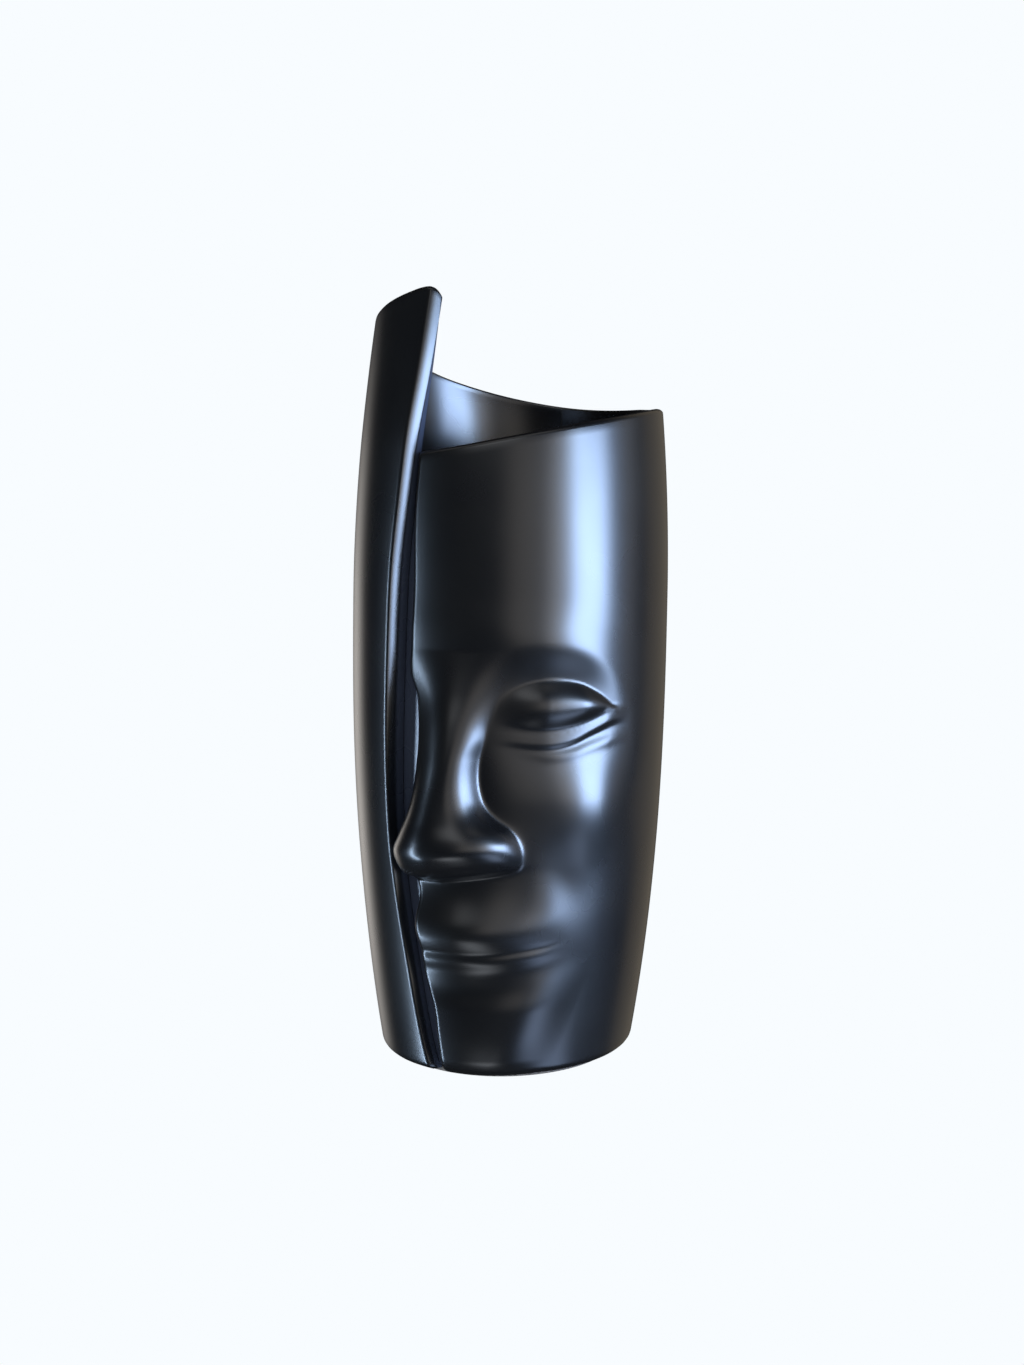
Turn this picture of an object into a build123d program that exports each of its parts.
from build123d import *
from math import cos, degrees, exp, hypot, radians, sin, sqrt
import os

os.makedirs("parts", exist_ok=True)

# Driving dimensions in millimetres. The face looks along -Y, angles are polar
# degrees from there towards +X, and the vase stands on the plane z = 0.
height = 300.0
half_width = 61.9
half_depth = 71.0
widest_height = 185.0
wall = 5.0
lower_edge_round = 3.0
floor_thickness = 7.0
seat_height = 14.0
seat_width = 9.0
foot_height = 2.0
foot_width = 11.0
foot_inset = 2.0
leaf_proud = 5.0
leaf_lip = 3.0
groove_depth = 4.0
groove_wall = 3.5
face_edge_lip = 1.2
nose_rise = 16.6
socket_depth = 5.2
eyeball_rise = 4.4
lid_rise = 2.4
mouth_rise = 2.6
upper_lip_rise = 1.7
lower_lip_rise = 2.2
parting_depth = 1.1
chin_rise = 3.6
chin_hollow = 1.2
cheek_rise = 1.6
cheek_fold = 1.6
brow_rise = 1.0
rim_crown = 1.2
rim_reach = 7.5
rim_clear = 25.0
luting_gap = 0.25
overrun = 6.0

# How the plain body draws in above and below its widest height.
foot_shrink_share = 0.195
foot_shrink_power = 2.55
top_shrink_share = 0.133

# Share of the relief that the inside of the wall follows, as a cast wall does.
inside_share = 0.75

# Angles that lay out the two walls.
tab_angle = 9.0
tab_fade_angle = 5.0
groove_fade_angle = 9.0
leaf_fade_angle = 55.0
plain_angle = 86.0
seam_angle = 180.0

# Rim: height by angle, one climbing turn from the groove round the back to the leaf's tip.
rim_shares = [(-70, 0.78), (-45, 0.786), (-20, 0.794), (0, 0.803), (45, 0.836), (90, 0.859),
              (135, 0.868), (180, 0.881), (225, 0.915), (270, 0.957), (315, 0.984), (340, 0.998),
              (349, 1.0), (350, 1.0), (380, 1.0)]

# Free edge of the leaf and profile edge of the face: angle by height.
leaf_edge_shares = [(0, -10.6), (0.047, -13.3), (0.093, -15.1), (0.147, -16.9), (0.203, -18.8),
                    (0.253, -20.2), (0.31, -21.2), (0.417, -20.7), (0.56, -19.2), (0.65, -18.0),
                    (0.737, -15.8), (0.8, -14.3), (0.91, -11.6), (1.0, -10.4), (1.03, -10.3)]
face_edge_shares = [(0, -6.5), (0.063, -7.0), (0.099, -8.0), (0.122, -10.6), (0.143, -11.6),
                    (0.16, -11.1), (0.188, -11.3), (0.217, -12.2), (0.245, -12.1), (0.267, -14.5),
                    (0.29, -19.4), (0.308, -19.2), (0.331, -15.9), (0.362, -13.3), (0.399, -12.1),
                    (0.439, -11.5), (0.484, -12.2), (0.499, -12.9), (0.523, -15.4), (0.56, -15.0),
                    (0.63, -14.4), (0.72, -14.7), (0.8, -13.8), (1.03, -13.8)]

# How far the leaf stands proud of the body at its free edge.
leaf_proud_shares = [(0, 0.35), (0.2, 0.5), (0.47, 1.0), (0.8, 0.92), (0.9, 0.45), (1.0, 0), (1.03, 0)]

# Nose: rise and half width in degrees by height.
nose_rise_shares = [(0.257, 0), (0.267, 0.16), (0.278, 0.54), (0.29, 0.87), (0.303, 1.0),
                    (0.317, 0.95), (0.343, 0.76), (0.38, 0.55), (0.42, 0.385), (0.46, 0.277),
                    (0.5, 0.18), (0.553, 0)]
nose_width_shares = [(0.257, 21), (0.28, 22.5), (0.3, 22.5), (0.323, 19.5), (0.353, 14.5),
                     (0.387, 12.2), (0.427, 12.2), (0.467, 13.5), (0.5, 15), (0.553, 19)]

# Eye and brow lines: height by angle from the middle of the face.
upper_lid_shares = [(15, 0.467), (20.5, 0.503), (25.5, 0.515), (31.6, 0.521), (38.7, 0.517),
                    (46, 0.506), (51.7, 0.495), (60, 0.472)]
lower_lid_shares = [(15, 0.453), (19, 0.447), (28, 0.441), (34.3, 0.444), (43, 0.453),
                    (50, 0.463), (55.5, 0.47), (60, 0.472)]
brow_shares = [(0, 0.533), (10, 0.543), (20, 0.552), (27.6, 0.554), (41, 0.548), (52, 0.527),
               (58, 0.503), (66, 0.473)]
mouth_shares = [(0, 0.1733), (8, 0.1707), (16, 0.1697), (25, 0.1733), (32.5, 0.178), (38, 0.182)]

# Eye: where the socket and the lids fade out, by height and by angle.
brow_step_share = 0.043
brow_edge_share = 0.007
socket_base_share = 0.39
socket_fade_share = 0.047
least_opening_share = 0.004
upper_rim_share = 0.0075
lower_rim_share = 0.01
upper_rim_rise_share = 0.4
socket_angles = (5, 13, 76, 26)
eyeball_angles = (14, 14, 60, 17)
lid_angles = (13, 8, 66, 12)

# Soft forms: rise, middle angle and its reach, middle height and its reach, lean over the angle.
soft_form_shares = [(cheek_rise, 48, 20, 0.36, 0.067, 0), (brow_rise, 26, 26, 0.567, 0.03, -0.0005),
                    (-cheek_fold, 33, 9, 0.267, 0.05, -0.0023), (chin_rise, 0, 26, 0.057, 0.047, 0),
                    (-chin_hollow, 0, 20, 0.12, 0.017, 0), (mouth_rise, 0, 30, 0.187, 0.057, 0)]

# Lips: rise, height over the mouth line, reach, and the angle that they fade out at and over.
lip_shares = [(upper_lip_rise, 0.0153, 0.014, 36, 22), (lower_lip_rise, -0.0187, 0.0147, 34, 22),
              (-parting_depth, 0, 0.0057, 38, 14)]

# The face ends at this height, and the nose's side falls off with this power.
face_top_share = 0.567
nose_power = 1.6


def eased(table, x):
    """Smooth value at x of a table of (place, value), flat beyond its ends."""
    if x <= table[0][0]:
        return table[0][1]
    if x >= table[-1][0]:
        return table[-1][1]
    i = max(k for k in range(len(table) - 1) if table[k][0] <= x)
    (x0, y0), (x1, y1) = table[i], table[i + 1]
    before, after = table[max(i - 1, 0)], table[min(i + 2, len(table) - 1)]
    span = x1 - x0
    slope0 = (y1 - before[1]) / (x1 - before[0])
    slope1 = (after[1] - y0) / (after[0] - x0)
    t = (x - x0) / span
    return (y0 * (1 + 2 * t) * (1 - t) ** 2 + slope0 * span * t * (1 - t) ** 2
            + y1 * t * t * (3 - 2 * t) + slope1 * span * t * t * (t - 1))


def step(t):
    """Smooth step from 0 to 1."""
    t = min(max(t, 0), 1)
    return t * t * (3 - 2 * t)


def bell(*offsets):
    """Bell of height 1 over any number of offsets, each in its own widths."""
    return exp(-hypot(*offsets) ** 2)


def ellipse_radius(angle, z, inset):
    """Polar radius of the plain body's ellipse at a height, drawn in by an inset."""
    below = max(widest_height - z, 0) / widest_height
    above = max(z - widest_height, 0) / (height - widest_height)
    scale = 1 - foot_shrink_share * below ** foot_shrink_power - top_shrink_share * above ** 2
    across = sin(radians(angle)) / (half_width * scale - inset)
    along = cos(radians(angle)) / (half_depth * scale - inset)
    return 1 / hypot(across, along)


def lower_edge_inset(z):
    """How far the round lower edge draws the outside in."""
    left = max(foot_height + lower_edge_round - z, 0)
    return lower_edge_round - sqrt(max(lower_edge_round ** 2 - left ** 2, 0))


def seat_inset(z):
    """How far the inside draws in towards the floor's seat."""
    left = max(foot_height + seat_height - z, 0) / seat_height
    return wall + seat_width * left ** 2


def above_floor(z):
    """0 beside the floor and 1 above it, so that the floor's seat stays a plain ellipse."""
    return step((z - foot_height - floor_thickness) / seat_height)


def between(side, angles):
    """Smooth fade in and out: first angle and its run, last angle and its run."""
    first, run_in, last, run_out = angles
    return step((side - first) / run_in) * step((last - side) / run_out)


def nose(angle, share):
    """Wedge of the nose with its round back and flat underside."""
    across = min(abs(angle) / eased(nose_width_shares, share), 1)
    return nose_rise * eased(nose_rise_shares, share) * (1 - across ** 2) ** nose_power


def eye(side, share):
    """Socket under the brow, blank eyeball and the rims of the lids."""
    upper, lower = eased(upper_lid_shares, side), eased(lower_lid_shares, side)
    under_brow = step((eased(brow_shares, side) + brow_edge_share - share) / brow_step_share)
    over_cheek = step((share - socket_base_share) / socket_fade_share)
    socket = under_brow * over_cheek * between(side, socket_angles)
    half_opening = max((upper - lower) / 2, least_opening_share)
    off_middle = min(abs(share - (upper + lower) / 2) / half_opening, 1)
    ball = (1 - off_middle ** 2) * between(side, eyeball_angles)
    rims = (upper_rim_rise_share * bell((share - upper) / upper_rim_share)
            + bell((share - lower) / lower_rim_share)) * between(side, lid_angles)
    return eyeball_rise * ball - socket_depth * socket + lid_rise * rims


def relief(angle, z):
    """How far the half face stands out of the plain body."""
    share, side = z / height, abs(angle)
    total = nose(angle, share) + eye(side, share)
    for rise, middle, reach, level, level_reach, lean in soft_form_shares:
        off_level = share - level - lean * (side - middle)
        total += rise * bell((side - middle) / reach, off_level / level_reach)
    for rise, level, level_reach, last, run in lip_shares:
        off_line = share - eased(mouth_shares, side) - level
        total += rise * bell(off_line / level_reach) * step((last - side) / run)
    return total


def point(angle, radius, z):
    """Point at a polar angle, a radius and a height."""
    return (radius * sin(radians(angle)), -radius * cos(radians(angle)), z)


def spread(first, last, count):
    """Evenly spaced values, both ends included."""
    return [first + (last - first) * i / count for i in range(count + 1)]


def smooth_curve(points):
    """Curve drawn by its points, with the same even knots for every section."""
    spans = len(points) - 3
    knots = [0.0] * 3 + [i / spans for i in range(spans + 1)] + [1.0] * 3
    return BSpline(points, knots, 3)


def face_outside(angle, z):
    """Radius of the front's outside, with the face in relief."""
    return ellipse_radius(angle, z, lower_edge_inset(z)) + relief(angle, z)


def leaf_outside(angle, z):
    """Radius of the leaf's outside, which stands proud of the body towards its free edge."""
    share = z / height
    fade = step(1 - (eased(leaf_edge_shares, share) - angle) / leaf_fade_angle)
    proud = leaf_proud * eased(leaf_proud_shares, share)
    return ellipse_radius(angle, z, lower_edge_inset(z)) + proud * fade


def groove_floor(angle, z):
    """Radius of the groove's floor and of the tab that runs on from it under the leaf."""
    return ellipse_radius(angle, z, lower_edge_inset(z) + groove_depth)


def face_inside(angle, z):
    """Radius of the front's inside, which follows the face and swells in behind the groove."""
    from_tab = (angle - eased(leaf_edge_shares, z / height)) / tab_angle + 1
    to_face = (eased(face_edge_shares, z / height) - angle) / groove_fade_angle + 1
    bulge = (groove_depth + groove_wall - wall) * step(from_tab) * step(to_face)
    follow = inside_share * relief(angle, z) - bulge
    return ellipse_radius(angle, z, seat_inset(z)) + follow * above_floor(z)


def leaf_inside(angle, z):
    """Radius of the back's inside, stepped out over the tab by its thickness."""
    past_tab = eased(leaf_edge_shares, z / height) - tab_angle - angle
    over_tab = groove_floor(angle, z) + luting_gap
    plain = ellipse_radius(angle, z, seat_inset(z))
    return over_tab + (plain - over_tab) * step(past_tab / tab_fade_angle)


# Heights of the horizontal sections: close together over the face, wide apart above it.
edge_heights = [foot_height + lower_edge_round * (1 - cos(radians(t))) for t in (0, 45, 90)]
face_heights = spread(foot_height + floor_thickness, face_top_share * height, 56)
plain_heights = spread(face_top_share * height, height + overrun, 10)
section_heights = edge_heights + face_heights + plain_heights[1:]


def face_section(z):
    """Closed outline of the front and right wall at a height."""
    face_edge = eased(face_edge_shares, z / height)
    tab_end = eased(leaf_edge_shares, z / height) - tab_angle
    edge_radius = face_outside(face_edge, z)
    lip_angle = face_edge + degrees(face_edge_lip / edge_radius)
    fade_end = face_edge + groove_fade_angle
    outside = [point(a, face_outside(a, z), z)
               for a in spread(seam_angle, plain_angle, 12) + spread(plain_angle, lip_angle, 46)[1:]]
    below_lip = point(face_edge, edge_radius - face_edge_lip, z)
    floor_curve = [point(a, groove_floor(a, z), z) for a in spread(face_edge, tab_end, 7)]
    inside = [point(a, face_inside(a, z), z)
              for a in spread(tab_end, fade_end, 12) + spread(fade_end, plain_angle, 24)[1:]
              + spread(plain_angle, seam_angle, 12)[1:]]
    return Wire([smooth_curve(outside),
                 Bezier(outside[-1], point(face_edge, edge_radius, z), below_lip),
                 Line(below_lip, floor_curve[0]),
                 smooth_curve(floor_curve),
                 Line(floor_curve[-1], inside[0]),
                 smooth_curve(inside),
                 Line(inside[-1], outside[0])])


def leaf_section(z):
    """Closed outline of the back and left wall at a height."""
    leaf_edge = eased(leaf_edge_shares, z / height)
    lip = leaf_lip * (1 + z / height) / 2
    edge_radius = leaf_outside(leaf_edge, z)
    lip_angle = leaf_edge - degrees(lip / edge_radius)
    past_tab = leaf_edge - tab_angle - tab_fade_angle
    outside = [point(a, leaf_outside(a, z), z)
               for a in spread(-seam_angle, -plain_angle, 12) + spread(-plain_angle, lip_angle, 14)[1:]]
    below_lip = point(leaf_edge, edge_radius - lip, z)
    inside = [point(a, leaf_inside(a, z), z)
              for a in spread(leaf_edge, past_tab, 14) + spread(past_tab, -seam_angle, 20)[1:]]
    return Wire([smooth_curve(outside),
                 Bezier(outside[-1], point(leaf_edge, edge_radius, z), below_lip),
                 Line(below_lip, inside[0]),
                 smooth_curve(inside),
                 Line(inside[-1], outside[0])])


def rim_section(angle):
    """Upright outline of what is cut away above the rim at an angle, arched under by the rim's crown."""
    top = height * eased(rim_shares, angle)
    middle = ellipse_radius(angle, top, wall / 2)
    drop = rim_crown * (2 * rim_reach / wall) ** 2
    arch = [point(angle, middle + rim_reach, top - drop),
            point(angle, middle, top + drop),
            point(angle, middle - rim_reach, top - drop)]
    corners = [arch[-1],
               point(angle, middle - rim_clear, top - drop),
               point(angle, middle - rim_clear, height + 2 * overrun),
               point(angle, middle + rim_clear, height + 2 * overrun),
               point(angle, middle + rim_clear, top - drop),
               arch[0]]
    return Wire([Bezier(*arch)] + [Line(a, b) for a, b in zip(corners, corners[1:])])


# Both walls are lofted overlong, then cut along the climbing rim.
face_wall = Solid.make_loft([face_section(z) for z in section_heights])
leaf_wall = Solid.make_loft([leaf_section(z) for z in section_heights])
above_face = Solid.make_loft([rim_section(a) for a in spread(-45, seam_angle + tab_angle, 26)])
above_leaf = Solid.make_loft([rim_section(a) for a in spread(seam_angle - tab_angle, 376, 26)])

# Front and right wall with the half face, its profile edge, the groove's floor and the tab under the leaf.
with BuildPart() as face_shell:
    add(face_wall)
    add(above_face, mode=Mode.SUBTRACT)
face_shell.part.label = "face_shell"

# Back and left wall that rises into the tall leaf and laps over the tab.
with BuildPart() as wrap_shell:
    add(leaf_wall)
    add(above_leaf, mode=Mode.SUBTRACT)
wrap_shell.part.label = "wrap_shell"

# Floor of the vessel, whose edge follows the seat in the two walls.
with BuildPart() as floor_disc:
    for z in spread(foot_height, foot_height + floor_thickness, 3):
        inset = seat_inset(z) + luting_gap
        with BuildSketch(Plane.XY.offset(z)):
            Ellipse(ellipse_radius(90, z, inset), ellipse_radius(0, z, inset))
    loft()
floor_disc.part.label = "floor_disc"

# Low ring under the joint between the floor and the walls.
with BuildPart() as foot_ring:
    with BuildSketch():
        ring_inset = lower_edge_round + foot_inset
        Ellipse(ellipse_radius(90, foot_height, ring_inset), ellipse_radius(0, foot_height, ring_inset))
        inner_inset = ring_inset + foot_width
        Ellipse(ellipse_radius(90, foot_height, inner_inset), ellipse_radius(0, foot_height, inner_inset),
                mode=Mode.SUBTRACT)
    extrude(amount=foot_height)
foot_ring.part.label = "foot_ring"

for piece in (face_shell, wrap_shell, floor_disc, foot_ring):
    export_step(piece.part, f"parts/{piece.part.label}.step")
    print(piece.part.label, round(piece.part.volume), piece.part.is_valid, len(piece.part.solids()))
